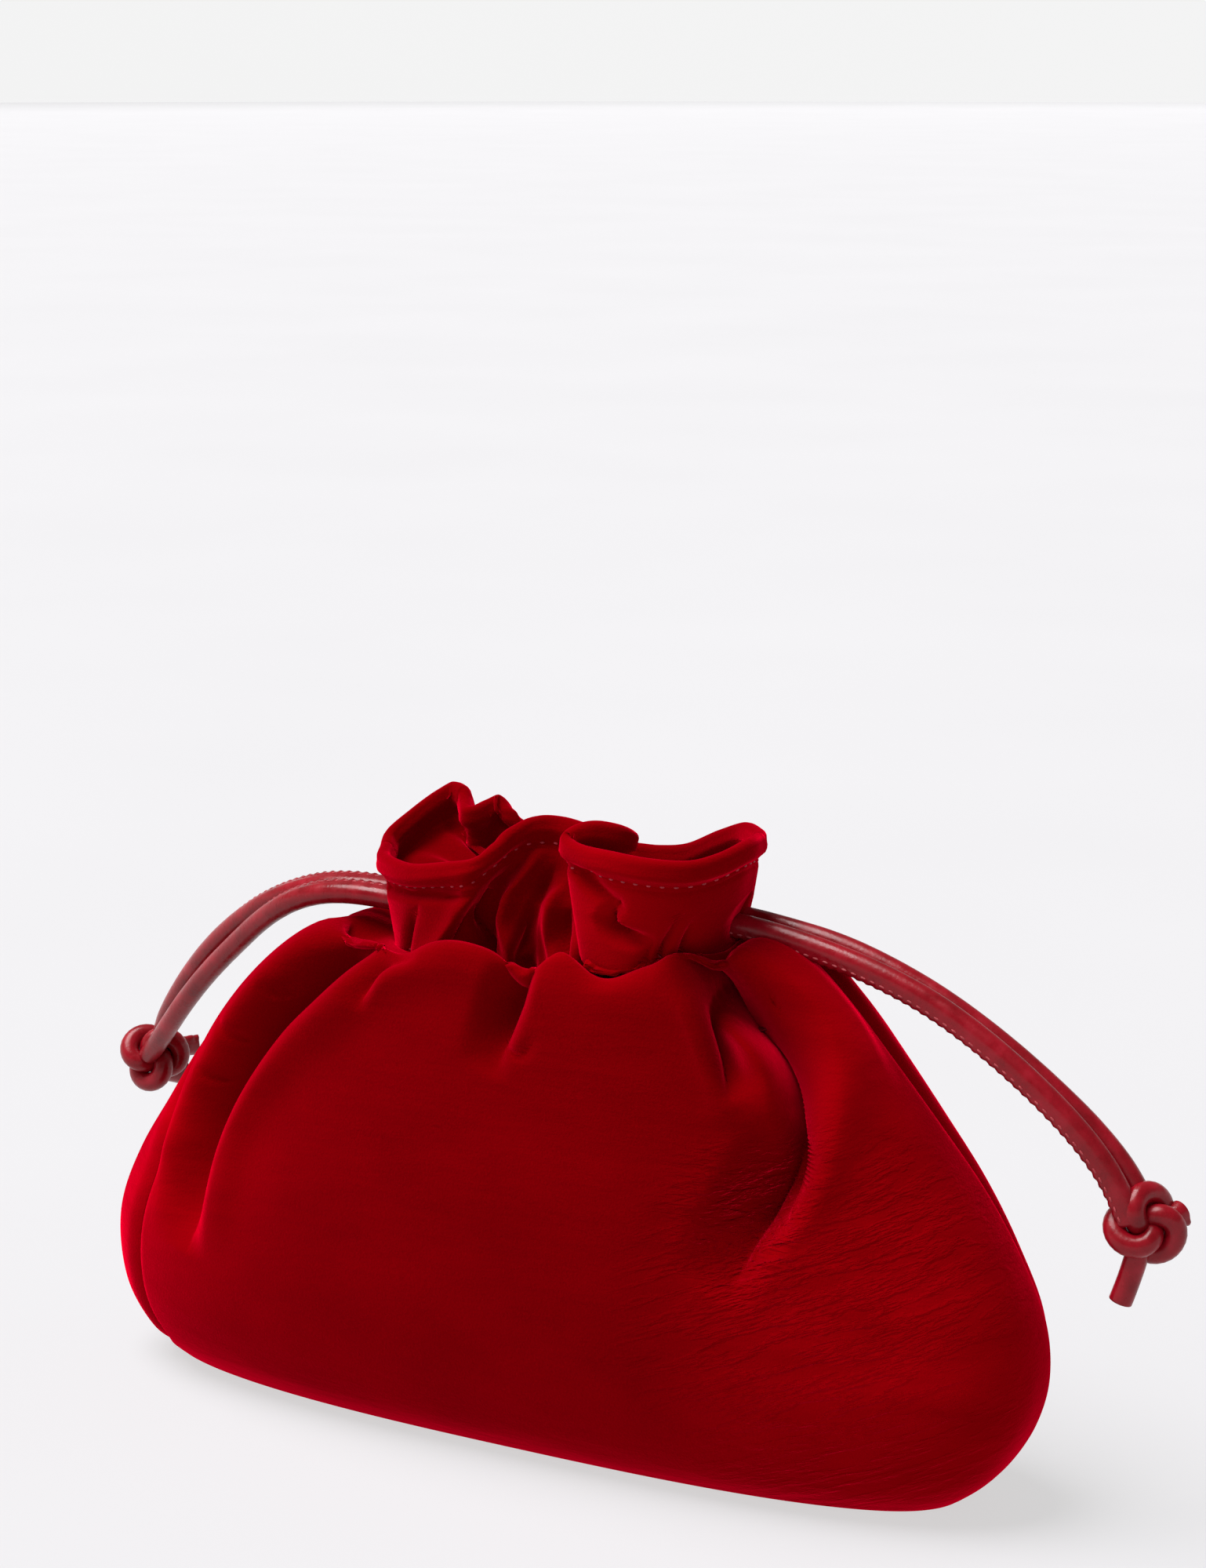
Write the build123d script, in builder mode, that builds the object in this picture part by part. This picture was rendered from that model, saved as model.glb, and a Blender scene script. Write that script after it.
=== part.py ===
"""A velvet drawstring gift pouch: two velvet panels with a lining, a gathered casing with
two leather drawcords in it, and a ruffle above the casing that folds open to each side.

Millimetres, +Z up. The origin is the middle of the base, where the pouch stands. +X runs
along the pouch's width and +Y through its depth, from the front panel to the back panel.
"""

import os
from math import pi, radians, tan

from build123d import *

os.makedirs("parts", exist_ok=True)

# Fabric
VELVET = 2.0            # thickness of the outer velvet, pile included
LINING = 0.9            # thickness of the lining
LAYER_GAP = 0.1         # air between two layers of cloth

# Body of the pouch: height, half width and half depth of its oval outline
BODY_OUTLINES = [
    (0, 116, 22),
    (5, 130, 31),
    (16, 140, 39),
    (42, 148, 45),
    (75, 137, 45),
    (105, 113, 42),
    (126, 92, 38),
    (137, 74, 32),
]
SHOULDER_FROM = 100     # above this height the panels turn in towards the neck
NECK_Z = 142            # where the body ends and the gathered casing begins

# Gathered casing: a flattened ring with a channel inside it for the drawcords
CASING_WIDTH = 112
CASING_DEPTH = 45
CASING_CORNER = 21
CASING_HEIGHT = 18
MOUTH_WIDTH = 40        # what is left of the mouth when the gathers are drawn up
MOUTH_DEPTH = 10
MOUTH_CORNER = 4.9      # nearly half of the depth, so the mouth's ends are round
CHANNEL_WALL = 1.5      # cloth above, below and at the ends of the channel
CHANNEL_DEPTH = 35      # across the ring, from outer wall to outer wall
CHANNEL_CORNER = 15
MOUTH_WALL = 3.5        # gathered cloth between the channel and the mouth

# Ruffle: height above the casing, half width, half depth and corner of each outline
RUFFLE_GAP = 0.4        # air between the casing's top and the ruffle's foot
RUFFLE_OUTLINES = [
    (RUFFLE_GAP, 56, 22.5, 21),
    (12, 57, 27, 22),
    (24, 61, 31, 24),
]
RIM_STITCH_HEIGHT = 18  # of the topstitching, above the casing

# Drawcords
CORD_DIAMETER = 6.5
CORD_RADIUS = CORD_DIAMETER / 2
STRAND_Y = 3.6          # each strand's distance from the middle plane where it leaves
CHANNEL_Y = 13          # the same inside the channel
LOOP_PARTS_X = 46       # where a cord's two strands begin to part, round the mouth
LOOP_SPREAD_X = 29      # where they are fully apart
LOOP_END_X = 42         # the loop's far end, on the other side of the middle
SLIT_PLAY = 0.7         # a slit is this much wider than the two strands in it
LEFT_CORD_Z = 147.2     # the left cord runs below the right one
RIGHT_CORD_Z = 154.3
HINGE_X = 70            # where a pair of strands starts to lift, from the middle
HINGE_GAP = 0.3
CORE_RADIUS = 1.7       # the cotton core that shows at a cut end
THREAD = 0.6            # stitching thread

SIDES = {"front": Keep.TOP, "back": Keep.BOTTOM}
CASING_TOP_Z = NECK_Z + CASING_HEIGHT


def save(piece, name):
    """Label a finished piece and write its STEP file."""
    piece.part.label = name
    export_step(piece.part, f"parts/{name}.step")


# ---------------------------------------------------------------- panels and lining

def body_outlines(inset):
    """The body's outlines moved inwards by inset, from the base to the open neck."""
    outlines = []
    for height, half_width, half_depth in BODY_OUTLINES:
        if height == 0:
            height = inset
        if height > SHOULDER_FROM:
            height -= inset
        outlines.append((height, half_width - inset, half_depth - inset))
    outlines.append((NECK_Z, CASING_WIDTH / 2 - inset, CASING_DEPTH / 2 - inset))
    return outlines


def body_layer(side, inset, thickness):
    """One half of a layer of cloth that lies inset inside the body's outer surface."""
    with BuildPart() as layer:
        for height, half_width, half_depth in body_outlines(inset):
            with BuildSketch(Plane.XY.offset(height)):
                Ellipse(half_width, half_depth)
        loft()
        for height, half_width, half_depth in body_outlines(inset + thickness):
            with BuildSketch(Plane.XY.offset(height)):
                Ellipse(half_width, half_depth)
        loft(mode=Mode.SUBTRACT)
        split(bisect_by=Plane.XZ, keep=SIDES[side])
    return layer


for side in SIDES:
    save(body_layer(side, 0, VELVET), f"{side}_panel")
    save(body_layer(side, VELVET + LAYER_GAP, LINING), f"{side}_lining")


# ---------------------------------------------------------------- gathered casing

def casing_half(side):
    """Half of the gathered ring, with the drawcord channel inside and a slit at each end."""
    channel_height = CASING_HEIGHT - 2 * CHANNEL_WALL
    channel_width = CASING_WIDTH - 2 * CHANNEL_WALL
    slit_depth = 2 * (STRAND_Y + CORD_RADIUS) + SLIT_PLAY
    with BuildPart() as casing:
        with BuildSketch(Plane.XY.offset(NECK_Z)):
            RectangleRounded(CASING_WIDTH, CASING_DEPTH, CASING_CORNER)
            RectangleRounded(MOUTH_WIDTH, MOUTH_DEPTH, MOUTH_CORNER, mode=Mode.SUBTRACT)
        extrude(amount=CASING_HEIGHT)
        with BuildSketch(Plane.XY.offset(NECK_Z + CHANNEL_WALL)):
            RectangleRounded(channel_width, CHANNEL_DEPTH, CHANNEL_CORNER)
            RectangleRounded(
                MOUTH_WIDTH + 2 * MOUTH_WALL,
                MOUTH_DEPTH + 2 * MOUTH_WALL,
                MOUTH_CORNER + MOUTH_WALL,
                mode=Mode.SUBTRACT,
            )
        extrude(amount=channel_height, mode=Mode.SUBTRACT)
        with BuildSketch(Plane.YZ.offset(-CASING_WIDTH)):
            with Locations((0, NECK_Z + CASING_HEIGHT / 2)):
                Rectangle(slit_depth, channel_height)
        extrude(amount=CASING_WIDTH - channel_width / 2 + CHANNEL_WALL, mode=Mode.SUBTRACT)
        with BuildSketch(Plane.YZ.offset(channel_width / 2 - CHANNEL_WALL)):
            with Locations((0, NECK_Z + CASING_HEIGHT / 2)):
                Rectangle(slit_depth, channel_height)
        extrude(amount=CASING_WIDTH, mode=Mode.SUBTRACT)
        split(bisect_by=Plane.XZ, keep=SIDES[side])
    return casing


def casing_stitching(side):
    """The two rows of thread that close the casing, above and below the drawcords."""
    with BuildPart() as rows:
        for height in (NECK_Z + CHANNEL_WALL / 2, CASING_TOP_Z - CHANNEL_WALL / 2):
            with BuildSketch(Plane.XY.offset(height - THREAD / 2)):
                RectangleRounded(CASING_WIDTH + THREAD, CASING_DEPTH + THREAD, CASING_CORNER + THREAD / 2)
                RectangleRounded(CASING_WIDTH - THREAD, CASING_DEPTH - THREAD, CASING_CORNER - THREAD / 2,
                                 mode=Mode.SUBTRACT)
            extrude(amount=THREAD)
        split(bisect_by=Plane.XZ, keep=SIDES[side])
    return rows


for side in SIDES:
    save(casing_half(side), f"{side}_casing")
    save(casing_stitching(side), f"{side}_casing_stitching")


# ---------------------------------------------------------------- ruffle

def ruffle_layer(side, inset, thickness):
    """Half of a layer of the flared ruffle, inset inside its outer surface."""
    with BuildPart() as layer:
        for height, half_width, half_depth, corner in RUFFLE_OUTLINES:
            with BuildSketch(Plane.XY.offset(CASING_TOP_Z + height)):
                RectangleRounded(2 * (half_width - inset), 2 * (half_depth - inset), corner - inset)
        loft()
        inset += thickness
        for height, half_width, half_depth, corner in RUFFLE_OUTLINES:
            with BuildSketch(Plane.XY.offset(CASING_TOP_Z + height)):
                RectangleRounded(2 * (half_width - inset), 2 * (half_depth - inset), corner - inset)
        loft(mode=Mode.SUBTRACT)
        split(bisect_by=Plane.XZ.offset(RUFFLE_GAP if side == "front" else -RUFFLE_GAP), keep=SIDES[side])
    return layer


def rim_stitching(side):
    """The row of topstitching below the ruffle's rim."""
    half_width = (RUFFLE_OUTLINES[1][1] + RUFFLE_OUTLINES[2][1]) / 2
    half_depth = (RUFFLE_OUTLINES[1][2] + RUFFLE_OUTLINES[2][2]) / 2
    corner = (RUFFLE_OUTLINES[1][3] + RUFFLE_OUTLINES[2][3]) / 2
    with BuildPart() as row:
        with BuildSketch(Plane.XY.offset(CASING_TOP_Z + RIM_STITCH_HEIGHT)):
            RectangleRounded(2 * half_width + THREAD, 2 * half_depth + THREAD, corner + THREAD / 2)
            RectangleRounded(2 * half_width - THREAD, 2 * half_depth - THREAD, corner - THREAD / 2,
                             mode=Mode.SUBTRACT)
        extrude(amount=THREAD)
        split(bisect_by=Plane.XZ.offset(RUFFLE_GAP if side == "front" else -RUFFLE_GAP), keep=SIDES[side])
    return row


for side in SIDES:
    save(ruffle_layer(side, 0, VELVET), f"{side}_ruffle")
    save(ruffle_layer(side, VELVET + LAYER_GAP, VELVET - LAYER_GAP), f"{side}_facing")
    save(rim_stitching(side), f"{side}_rim_stitching")


# ---------------------------------------------------------------- drawcords

def arc_radii(points):
    """As large a radius at each corner as its two runs leave room for."""
    radii = []
    for before, corner, after in zip(points, points[1:], points[2:]):
        first_run = Vector(*corner) - Vector(*before)
        second_run = Vector(*after) - Vector(*corner)
        half_turn = radians(first_run.get_angle(second_run)) / 2
        radii.append(0.45 * min(first_run.length, second_run.length) / tan(half_turn))
    return radii


def cord_tube(name, points, round_start=False):
    """A round cord along straight runs joined by tangent arcs."""
    radii = arc_radii(points)
    with BuildPart() as tube:
        with BuildLine():
            route = FilletPolyline(*points, radius=radii)
        with BuildSketch(Plane(origin=route @ 0, z_dir=route % 0)):
            Circle(CORD_RADIUS)
        sweep()
        straight_volume = pi * CORD_RADIUS ** 2 * route.length
        ratio = tube.part.volume / straight_volume
        if round_start:
            with Locations(points[0]):
                Sphere(CORD_RADIUS)
    print(f"{name}: length {route.length:.1f}, volume ratio {ratio:.4f}, radii",
          [round(radius, 1) for radius in radii])
    save(tube, name)


def cord_loop(name, outward, height):
    """The held part of a drawcord: in at one slit, round the far end of the channel, and out again.

    outward is -1 for the cord whose strands leave at the left slit and 1 for the right one.
    """
    stub_end = HINGE_X - CORD_RADIUS - HINGE_GAP
    front_half = [
        (stub_end, -STRAND_Y),
        (LOOP_PARTS_X, -STRAND_Y),
        (LOOP_SPREAD_X, -CHANNEL_Y),
        (-LOOP_END_X, -CHANNEL_Y),
    ]
    back_half = [(along, -across) for along, across in reversed(front_half)]
    points = [(outward * along, across, height) for along, across in front_half + back_half]
    cord_tube(name, points)


cord_loop("left_cord_loop", -1, LEFT_CORD_Z)
cord_loop("right_cord_loop", 1, RIGHT_CORD_Z)

# Free strands, from the hinge beside the slit down to the knot
LEFT_FRONT_ROUTE = [
    (-HINGE_X, -STRAND_Y, LEFT_CORD_Z), (-83, -3.4, 149), (-97, 0.6, 146), (-110.5, 6, 136.5),
    (-123, 11.5, 124.5), (-136.5, 17, 112), (-150, 22.8, 98), (-160.5, 29, 84.5), (-166, 32.5, 75.5),
]
LEFT_BACK_ROUTE = [
    (-HINGE_X, STRAND_Y, LEFT_CORD_Z), (-83.5, 4, 149.8), (-97, 8, 146.8), (-109, 13, 137),
    (-121, 18, 125.3), (-134, 23.8, 113), (-147, 29.4, 99.3), (-157.5, 35.6, 85.5), (-163, 39, 76.5),
]
RIGHT_FRONT_ROUTE = [
    (HINGE_X, -STRAND_Y, RIGHT_CORD_Z), (84, -3.8, 151), (99, -3.6, 144.5), (115, -3.5, 136.6),
    (131, -3.7, 126.2), (145.5, -3.5, 114.8), (157.5, -3.4, 104), (167, -3.4, 93.8), (171.5, -3.4, 88),
]
RIGHT_BACK_ROUTE = [
    (HINGE_X, STRAND_Y, RIGHT_CORD_Z), (85, 3.9, 152), (101, 4.2, 146), (117, 4, 138.5),
    (133, 4.1, 128.3), (147.5, 4, 116.5), (159.5, 3.8, 105), (169, 3.6, 94.5), (173.5, 3.6, 88.5),
]

cord_tube("left_front_strand", LEFT_FRONT_ROUTE, round_start=True)
cord_tube("left_back_strand", LEFT_BACK_ROUTE, round_start=True)
cord_tube("right_front_strand", RIGHT_FRONT_ROUTE, round_start=True)
cord_tube("right_back_strand", RIGHT_BACK_ROUTE, round_start=True)


# ---------------------------------------------------------------- knots and cut ends

KNOT_TURN_RADIUS = 5.6  # centre line of each turn of the knot
KNOT_TURN_RISE = 3.2    # of the upper and lower turn, from the knot's middle
LEFT_KNOT = Plane(origin=(-166.5, 37, 72.5), z_dir=(0.35, -0.2, 0.9))
RIGHT_KNOT = Plane(origin=(174.5, 0, 86.5), z_dir=(-0.45, 0, 0.9))


def knot(name, placed):
    """The outer shape of an overhand knot in two strands: two turns round a filled middle."""
    with BuildPart(placed) as body:
        Sphere(KNOT_TURN_RADIUS + 1)
        for height in (-KNOT_TURN_RISE, KNOT_TURN_RISE):
            with Locations((0, 0, height)):
                Torus(KNOT_TURN_RADIUS, CORD_RADIUS)
    save(body, name)


def cut_end(name, start, tip, core_name=None):
    """A straight tail of cord from inside a knot to its cut tip, with its cotton core."""
    line = Vector(*tip) - Vector(*start)
    core_length = 4
    with BuildPart(Plane(origin=start, z_dir=line)) as tail:
        Cylinder(CORD_RADIUS, line.length, align=(Align.CENTER, Align.CENTER, Align.MIN))
        if core_name:
            with Locations((0, 0, line.length - core_length)):
                Cylinder(CORE_RADIUS, core_length, align=(Align.CENTER, Align.CENTER, Align.MIN),
                         mode=Mode.SUBTRACT)
    save(tail, name)
    if core_name:
        with BuildPart(Plane(origin=tip, z_dir=line)) as core:
            Cylinder(CORE_RADIUS, core_length, align=(Align.CENTER, Align.CENTER, Align.MAX))
        save(core, core_name)


knot("left_knot", LEFT_KNOT)
knot("right_knot", RIGHT_KNOT)
cut_end("left_upper_tail", (-164.5, 43, 72), (-157, 51, 74))
cut_end("left_lower_tail", (-168, 39.5, 65), (-162, 49, 60))
cut_end("right_lower_tail", (173.5, -2, 82), (169.5, -4, 66), "right_lower_core")
cut_end("right_upper_tail", (179.5, 4.5, 84.5), (185.5, 9, 91), "right_upper_core")
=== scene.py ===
"""The looks of the velvet drawstring pouch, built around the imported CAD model.

Every length is in metres in the scene. The cloth is shaped in millimetres, in the same frame as
the CAD model, and scaled down when its mesh is made.
"""

import math

import bmesh
import bpy
import numpy as np
from mathutils import Matrix, Vector


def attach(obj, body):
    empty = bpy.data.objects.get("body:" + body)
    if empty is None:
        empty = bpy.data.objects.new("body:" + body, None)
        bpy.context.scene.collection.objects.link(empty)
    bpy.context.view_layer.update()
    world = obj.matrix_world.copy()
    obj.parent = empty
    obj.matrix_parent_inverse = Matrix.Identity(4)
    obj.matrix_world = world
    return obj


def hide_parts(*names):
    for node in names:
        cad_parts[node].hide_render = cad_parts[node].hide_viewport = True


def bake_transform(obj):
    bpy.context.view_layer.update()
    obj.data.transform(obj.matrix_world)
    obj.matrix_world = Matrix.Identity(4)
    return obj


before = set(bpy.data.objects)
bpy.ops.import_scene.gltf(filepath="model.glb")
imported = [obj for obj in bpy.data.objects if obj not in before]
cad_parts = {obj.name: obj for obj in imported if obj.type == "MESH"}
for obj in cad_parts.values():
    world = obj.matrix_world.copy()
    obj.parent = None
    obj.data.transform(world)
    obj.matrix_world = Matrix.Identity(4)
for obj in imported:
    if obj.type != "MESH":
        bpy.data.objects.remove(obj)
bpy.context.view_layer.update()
scene = bpy.context.scene
MM = 0.001


# ---------------- camera

CAMERA_AZIMUTH = math.radians(29)  # from the front of the pouch towards its right end
CAMERA_PITCH = math.radians(12.2)  # downwards
CAMERA_DISTANCE = 0.97
CAMERA_AIM = Vector((0.014, 0, 0.187))
CAMERA_LENS = 81  # mm, on the long side of the picture


def make_camera():
    """The photograph's viewpoint, from the right of the front and a little above."""
    data = bpy.data.cameras.new("camera")
    data.lens = CAMERA_LENS
    data.clip_start = 0.01
    data.clip_end = 50
    backwards = Vector((
        math.sin(CAMERA_AZIMUTH) * math.cos(CAMERA_PITCH),
        -math.cos(CAMERA_AZIMUTH) * math.cos(CAMERA_PITCH),
        math.sin(CAMERA_PITCH),
    ))
    camera = bpy.data.objects.new("camera", data)
    scene.collection.objects.link(camera)
    camera.location = CAMERA_AIM + backwards * CAMERA_DISTANCE
    camera.rotation_euler = backwards.to_track_quat("Z", "Y").to_euler()
    scene.camera = camera


make_camera()


# ---------------- materials

def new_material(name, values):
    """A Principled material with the given uniform values, its tree and its shader."""
    material = bpy.data.materials.new(name)
    material.use_nodes = True
    shader = material.node_tree.nodes["Principled BSDF"]
    for socket, value in values.items():
        shader.inputs[socket].default_value = value
    return material, material.node_tree, shader


def add_node(tree, kind, values, links, **settings):
    """A new node with its settings, its inputs' values and what is linked to its inputs."""
    node = tree.nodes.new("ShaderNode" + kind)
    for name, value in settings.items():
        setattr(node, name, value)
    for socket, value in values.items():
        node.inputs[socket].default_value = value
    for socket, output in links.items():
        tree.links.new(output, node.inputs[socket])
    return node.outputs


def noise(tree, scale, detail=4, stretch=(1, 1, 1), roughness=0.5, tilt=0):
    """Fractal noise in object space, stretched along an axis and tilted in the front plane."""
    place = add_node(tree, "TexCoord", {}, {})["Object"]
    turned = {"Scale": [1 / part for part in stretch], "Rotation": (0, math.radians(tilt), 0)}
    place = add_node(tree, "Mapping", turned, {"Vector": place}, vector_type="TEXTURE")["Vector"]
    values = {"Scale": scale, "Detail": detail, "Roughness": roughness}
    return add_node(tree, "TexNoise", values, {"Vector": place})["Fac"]


def ramp(tree, value, *stops):
    """A colour ramp over value, with (position, colour) stops."""
    node = tree.nodes.new("ShaderNodeValToRGB")
    elements = node.color_ramp.elements
    while len(elements) < len(stops):
        elements.new(0.5)
    for element, (position, colour) in zip(elements, stops):
        element.position = position
        element.color = (*colour, 1)
    tree.links.new(value, node.inputs["Fac"])
    return node.outputs["Color"]


def grey(level):
    """A grey, as a colour."""
    return (level, level, level)


def mix(tree, factor, first, second):
    """Mixes two colours by factor. The first may be a colour or a node's output."""
    links = {"Factor": factor, "B": second}
    if isinstance(first, tuple):
        return add_node(tree, "Mix", {"A": (*first, 1)}, links, data_type="RGBA")["Result"]
    return add_node(tree, "Mix", {}, {**links, "A": first}, data_type="RGBA")["Result"]


def bump(tree, shader, height, distance, strength=1.0, before=None):
    """A bump of the given height in metres, on top of an earlier one."""
    links = {"Height": height, "Normal": before} if before else {"Height": height}
    normal = add_node(tree, "Bump", {"Distance": distance, "Strength": strength}, links)["Normal"]
    tree.links.new(normal, shader.inputs["Normal"])
    return normal


def near(tree, centre, inner, outer):
    """White within inner of a place on the object and black beyond outer, in metres."""
    where = add_node(tree, "TexCoord", {}, {})["Object"]
    distance = add_node(tree, "VectorMath", {1: centre}, {0: where}, operation="DISTANCE")["Value"]
    return ramp(tree, distance, (inner, grey(1)), (outer, grey(0)))


# Patches of painted light, where the pile is lightened as if it caught the lamps: the place, the radius of
# the full effect and where it has gone
PAINTED_LIGHT_PATCHES = [
    ((0.115, -0.03, 0.055), 0.010, 0.068),  # low on the right
    ((-0.125, -0.025, 0.075), 0.010, 0.062),  # the left end
    ((0.100, -0.02, 0.130), 0.005, 0.035),  # the flap of the pocket
    ((0.030, -0.030, 0.158), 0.004, 0.030),  # the neck
]
# Where the cloth was squeezed into creases: the same, then their stretch and their tilt in degrees
SQUEEZED = [
    ((0.10, -0.035, 0.055), 0.015, 0.062, (0.5, 1, 3.4), -22),  # low on the right
    ((0.075, -0.032, 0.082), 0.008, 0.026, (0.4, 1, 3.0), 0),  # in the pocket
]
UNCREASED = 0.2  # the creases' height where there are none


def velvet_colour(tree):
    """A deep red pile, brushed unevenly, with patches lightened by painted light where the pile faces the
    lamps.
    """
    brushed = ramp(tree, noise(tree, 22, 3, (1, 1, 1.6)),
                   (0.3, (0.115, 0.0, 0.0006)), (0.7, (0.165, 0.0, 0.0010)))
    pile = ramp(tree, noise(tree, 1500, 2),
                (0.25, (0.095, 0.0, 0.0004)), (0.75, (0.190, 0.0, 0.0012)))
    share = ramp(tree, noise(tree, 90, 4, (0.5, 1, 2.4)), (0.35, grey(0.15)), (0.65, grey(0.45)))
    # Painted light: the lighter red that brightens the patches as if they were lit
    painted_light = ramp(tree, noise(tree, 40, 3, (0.6, 1, 2)),
                  (0.3, (0.20, 0.0, 0.0012)), (0.7, (0.29, 0.0, 0.0022)))
    colour = mix(tree, share, brushed, pile)
    for centre, inner, outer in PAINTED_LIGHT_PATCHES:
        colour = mix(tree, near(tree, centre, inner, outer), colour, painted_light)
    return colour


def velvet_material():
    """Silk velvet: a deep red pile with a bright grazing sheen, crush marks and creases."""
    material, tree, shader = new_material("velvet", {
        "Roughness": 0.9, "Specular IOR Level": 0.0, "Sheen Weight": 1.0, "Sheen Roughness": 0.42,
        "Sheen Tint": (1.0, 0.0, 0.03, 1),
    })
    tree.links.new(velvet_colour(tree), shader.inputs["Base Color"])
    crush = noise(tree, 60, 5, (0.45, 1, 2.4), 0.55)
    normal = bump(tree, shader, crush, 0.002, 0.3)
    for centre, inner, outer, stretch, tilt in SQUEEZED:
        creased = noise(tree, 62, 4, stretch, 0.6, tilt=tilt)
        edges = ramp(tree, creased, (0.40, grey(0)), (0.50, grey(1)), (0.58, grey(UNCREASED)))
        pressed = mix(tree, near(tree, centre, inner, outer), grey(UNCREASED), edges)
        normal = bump(tree, shader, pressed, 0.0011, 0.75, normal)
    bump(tree, shader, noise(tree, 1800, 1), 0.0003, 0.35, normal)
    return material


def leather_material():
    """Smooth rolled leather with a fine grain, a soft gloss and rubbed, paler patches."""
    material, tree, shader = new_material("leather", {
        "Specular IOR Level": 0.24, "Coat Weight": 0.06, "Coat Roughness": 0.3,
    })
    colour = ramp(tree, noise(tree, 130, 5, roughness=0.6), (0.3, (0.150, 0.0008, 0.0040)),
                  (0.55, (0.225, 0.0015, 0.0075)), (0.8, (0.310, 0.0060, 0.0180)))
    tree.links.new(colour, shader.inputs["Base Color"])
    rough = ramp(tree, noise(tree, 260, 3), (0.3, grey(0.20)), (0.7, grey(0.38)))
    tree.links.new(rough, shader.inputs["Roughness"])
    normal = bump(tree, shader, noise(tree, 900, 3), 0.0004, 0.18)
    bump(tree, shader, noise(tree, 160, 3), 0.0008, 0.12, normal)
    return material


def thread_material(name, dark, light):
    """Twisted sewing thread, darker in the lay of its twist."""
    material, tree, shader = new_material(name, {
        "Roughness": 0.6, "Sheen Weight": 0.3, "Sheen Tint": (1.0, 0.1, 0.15, 1),
    })
    colour = ramp(tree, noise(tree, 2200, 2, (1, 1, 0.4)), (0.35, dark), (0.65, light))
    tree.links.new(colour, shader.inputs["Base Color"])
    bump(tree, shader, noise(tree, 2600, 2), 0.0002, 0.4)
    return material


def lining_material():
    """Plain woven satin lining."""
    material, tree, shader = new_material("lining", {"Roughness": 0.4})
    colour = ramp(tree, noise(tree, 700, 3, (1, 1, 0.2)),
                  (0.3, (0.17, 0.002, 0.008)), (0.7, (0.25, 0.004, 0.015)))
    tree.links.new(colour, shader.inputs["Base Color"])
    bump(tree, shader, noise(tree, 1400, 2, (1, 1, 0.15)), 0.0002, 0.3)
    return material


def core_material():
    """The pale cut cotton core of a cord, fibrous and unevenly stained."""
    material, tree, shader = new_material("cord_core", {"Roughness": 0.9})
    colour = ramp(tree, noise(tree, 1700, 3), (0.3, (0.42, 0.09, 0.11)), (0.7, (0.70, 0.30, 0.30)))
    tree.links.new(colour, shader.inputs["Base Color"])
    bump(tree, shader, noise(tree, 2400, 2), 0.0004, 0.6)
    return material


MATERIALS = {
    "velvet": velvet_material(),
    "leather": leather_material(),
    "thread": thread_material("thread", (0.16, 0.001, 0.005), (0.34, 0.006, 0.02)),
    "pale_thread": thread_material("pale_thread", (0.24, 0.012, 0.02), (0.40, 0.05, 0.06)),
    "lining": lining_material(),
    "cord_core": core_material(),
}


def mesh_object(name, points, faces, material):
    """A smooth mesh object in the scene with one material, in metres."""
    mesh = bpy.data.meshes.new(name)
    mesh.from_pydata([tuple(point) for point in points], [], faces)
    mesh.materials.append(MATERIALS[material])
    mesh.polygons.foreach_set("use_smooth", [True] * len(mesh.polygons))
    mesh.update()
    piece = bpy.data.objects.new(name, mesh)
    scene.collection.objects.link(piece)
    return piece


# ---------------- drawcords

CORD_DIAMETER = 6.5 * MM
CORD_RADIUS = CORD_DIAMETER / 2
SEAM_ANGLES = {"left": math.radians(62), "right": math.radians(-48)}  # of the stitched edge

# In mm: the strands' hinge, and half the distance between a cord's two strands there
HINGE_X = 70
STRAND_Y = 3.6

# Each strand's route in mm, from inside the casing out of the slit and down to its knot
STRAND_ROUTES = {
    "left_front_strand": [
        (-44, -STRAND_Y, 146.6), (-57, -STRAND_Y, 147.4), (-HINGE_X, -STRAND_Y, 147.2),
        (-81, -3, 145), (-92, -0.8, 140.2), (-103, 2.8, 133.2),
        (-114, 7, 124.4), (-127, 12, 113.7), (-140, 17.5, 101.7),
        (-152.5, 24, 89), (-161.5, 29.5, 80), (-167, 32.5, 75),
    ],
    "left_back_strand": [
        (-44, STRAND_Y, 146.6), (-57, STRAND_Y, 147.6), (-HINGE_X, STRAND_Y, 147.8),
        (-82, 4, 146.2), (-94, 6, 142.2), (-106, 8.8, 136.4),
        (-118, 12.6, 128.6), (-130, 17, 119.2), (-142, 22.5, 108),
        (-153.5, 28.5, 95.6), (-162, 34, 85.2), (-166, 38, 78),
    ],
    "right_front_strand": [
        (44, -STRAND_Y, 154.3), (57, -STRAND_Y, 153.6), (HINGE_X, -STRAND_Y, 152),
        (84, -3.6, 149.4), (100, -3.6, 145.3), (116, -3.5, 139.2),
        (132, -3.5, 130.1), (147.5, -3.5, 119), (160.2, -3.4, 107.8),
        (169, -3.4, 96.5), (172.5, -3.4, 88),
    ],
    "right_back_strand": [
        (44, STRAND_Y, 154.3), (57, STRAND_Y, 153.6), (HINGE_X, STRAND_Y, 152),
        (84.5, 3.4, 149.8), (99.5, 3, 145.4), (115, 3, 138.9),
        (131.2, 3, 129.8), (147.2, 3, 118.8), (160.6, 3, 108),
        (170.3, 3, 97.2), (174.2, 3.2, 89),
    ],
}


CURVE_STEPS = 22  # points between two of a route's points


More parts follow.
